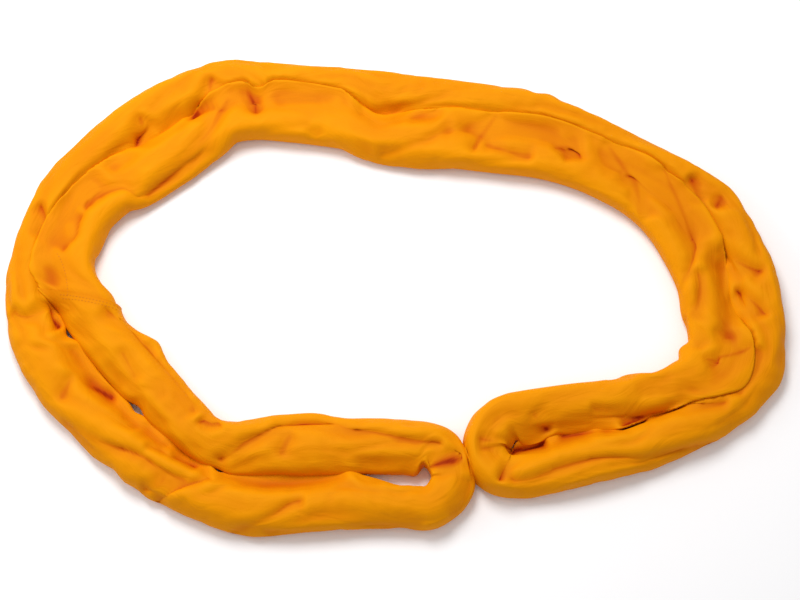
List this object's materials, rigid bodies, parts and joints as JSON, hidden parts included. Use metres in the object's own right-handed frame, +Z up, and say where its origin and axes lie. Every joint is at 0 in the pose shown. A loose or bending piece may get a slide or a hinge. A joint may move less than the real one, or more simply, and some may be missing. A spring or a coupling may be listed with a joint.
{
  "type": "round sling",
  "caption": "Endless polyester round sling for lifting: a yarn hank inside an orange woven cover, laid double on the floor in a C.",
  "frame": {"origin": "on the floor plane, under the middle of the outline of the laid sling", "axes": "+X along the long way of the C, +Y away from the side where the two bights meet, +Z up"},
  "size_m": [1.3311, 0.8581, 0.0447],
  "materials": {
    "cover_cloth": "satin",
    "core_yarn": "satin",
    "binding_tape": "matte",
    "sewing_thread": "satin",
    "label_cloth": "satin"
  },
  "bodies": {
    "root": {"core_binding_tape_01": "binding_tape", "core_binding_tape_02": "binding_tape", "core_binding_tape_03": "binding_tape", "core_binding_tape_04": "binding_tape", "core_binding_tape_05": "binding_tape", "core_binding_tape_06": "binding_tape", "core_binding_tape_07": "binding_tape", "core_binding_tape_08": "binding_tape", "core_binding_tape_09": "binding_tape", "core_binding_tape_10": "binding_tape", "core_binding_tape_11": "binding_tape", "core_binding_tape_12": "binding_tape", "core_binding_tape_13": "binding_tape", "core_binding_tape_14": "binding_tape", "core_yarn_01": "core_yarn", "core_yarn_02": "core_yarn", "core_yarn_03": "core_yarn", "core_yarn_04": "core_yarn", "core_yarn_05": "core_yarn", "core_yarn_06": "core_yarn", "core_yarn_07": "core_yarn", "core_yarn_08": "core_yarn", "core_yarn_09": "core_yarn", "core_yarn_10": "core_yarn", "core_yarn_11": "core_yarn", "core_yarn_12": "core_yarn", "core_yarn_13": "core_yarn", "identification_label": "label_cloth", "join_stitching": "sewing_thread", "protective_cover": "cover_cloth", "side_seam_stitching": "sewing_thread"}
  },
  "joints": []
}
